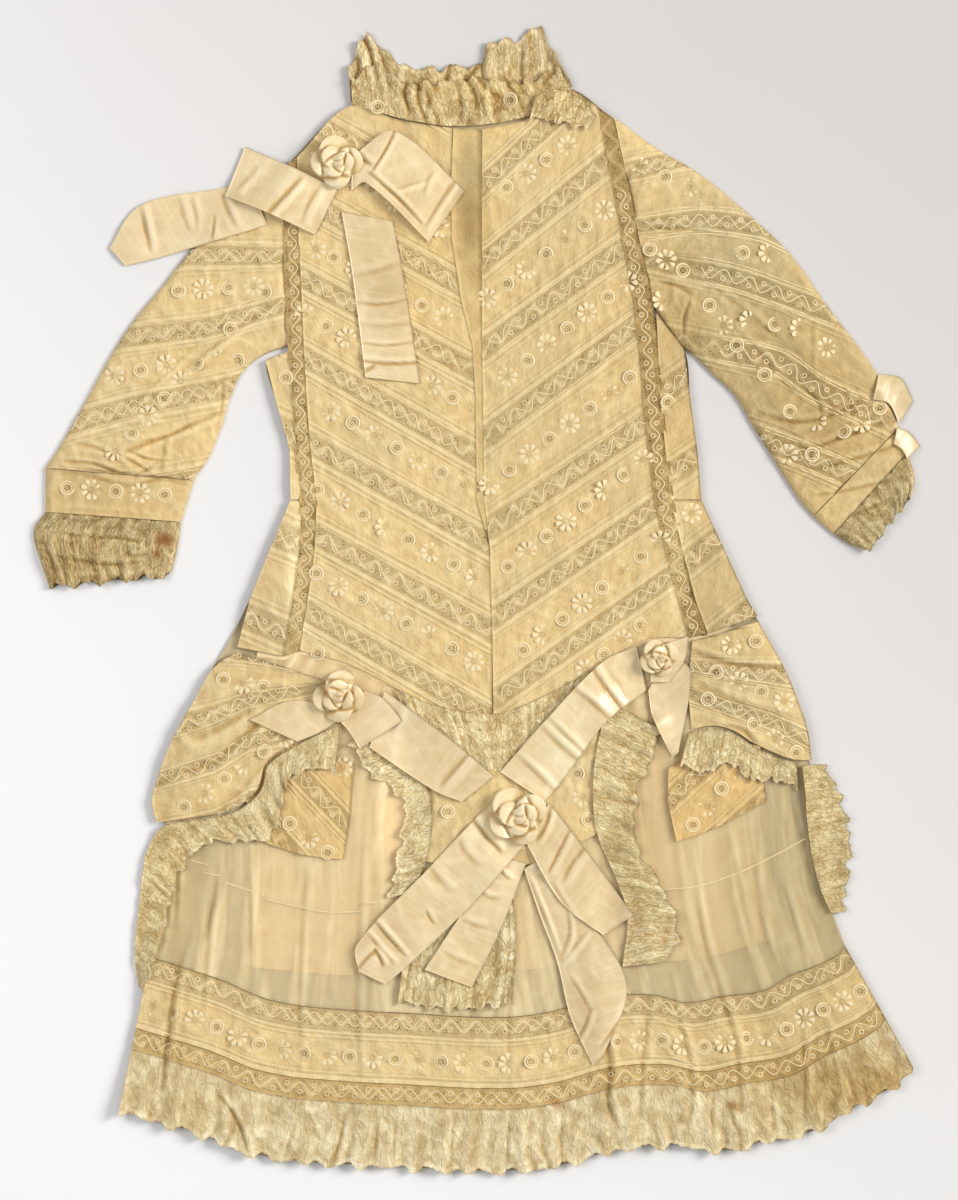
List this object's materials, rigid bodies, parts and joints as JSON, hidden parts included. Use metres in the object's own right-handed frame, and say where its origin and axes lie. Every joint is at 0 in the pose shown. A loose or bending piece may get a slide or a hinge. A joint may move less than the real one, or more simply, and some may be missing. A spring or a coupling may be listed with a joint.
{
  "type": "child's lace dress",
  "caption": "Child's dress with three-quarter sleeves, of tucked and embroidered white-work with lace insertions, ruffles and satin bows, laid out flat.",
  "frame": {"origin": "centre of the bounding box in plan, at the underside that rests on the surface", "axes": "+Y towards the neck, +Z out of the front of the dress, +X to the right as seen from above"},
  "size_m": [0.5836, 0.7545, 0.0184],
  "materials": {
    "batiste": "fine tucked cotton with white embroidery, yellowed with age",
    "muslin": "sheer gathered cotton muslin",
    "lining": "plain peach cotton",
    "lace": "cotton bobbin lace, yellowed with age",
    "satin": "cream silk satin ribbon with a soft sheen"
  },
  "bodies": {
    "root": {"apron_centre": "batiste", "apron_lace_left": "lace", "apron_lace_mid": "lace", "apron_lace_right": "lace", "back_bodice": "batiste", "back_skirt": "muslin", "centre_rosette": "satin", "centre_tail_left": "satin", "centre_tail_long": "satin", "centre_tail_right": "satin", "centre_tail_short": "satin", "collar_back": "lace", "collar_front": "lace", "collar_spray": "lace", "cuff_lace_left": "lace", "cuff_lace_right": "lace", "cuff_left": "batiste", "cuff_right": "batiste", "drape_lace_left": "lace", "drape_lace_right": "lace", "drape_lace_side": "lace", "drape_left": "batiste", "drape_right": "batiste", "front_left": "batiste", "front_right": "batiste", "hem_band": "batiste", "hem_insertion_lower": "lace", "hem_insertion_upper": "lace", "hem_lace_back": "lace", "hem_lace_front": "lace", "hip_left": "batiste", "hip_right": "batiste", "hip_rosette_left": "satin", "hip_rosette_right": "satin", "hip_tab_left_front": "satin", "hip_tab_left_side": "satin", "hip_tab_right_front": "satin", "hip_tab_right_side": "satin", "insertion_left": "lace", "insertion_right": "lace", "lining_front": "lining", "placket": "batiste", "shoulder_loop_left": "satin", "shoulder_loop_right": "satin", "shoulder_rosette": "satin", "shoulder_tail_down": "satin", "shoulder_tail_side": "satin", "side_left": "batiste", "side_right": "batiste", "skirt_muslin": "muslin", "sleeve_left": "batiste", "sleeve_ribbon_lower": "satin", "sleeve_ribbon_upper": "satin", "sleeve_right": "batiste", "swag_left": "satin", "swag_right": "satin", "waist_lace": "lace", "yoke_left": "batiste", "yoke_right": "batiste"}
  },
  "joints": []
}
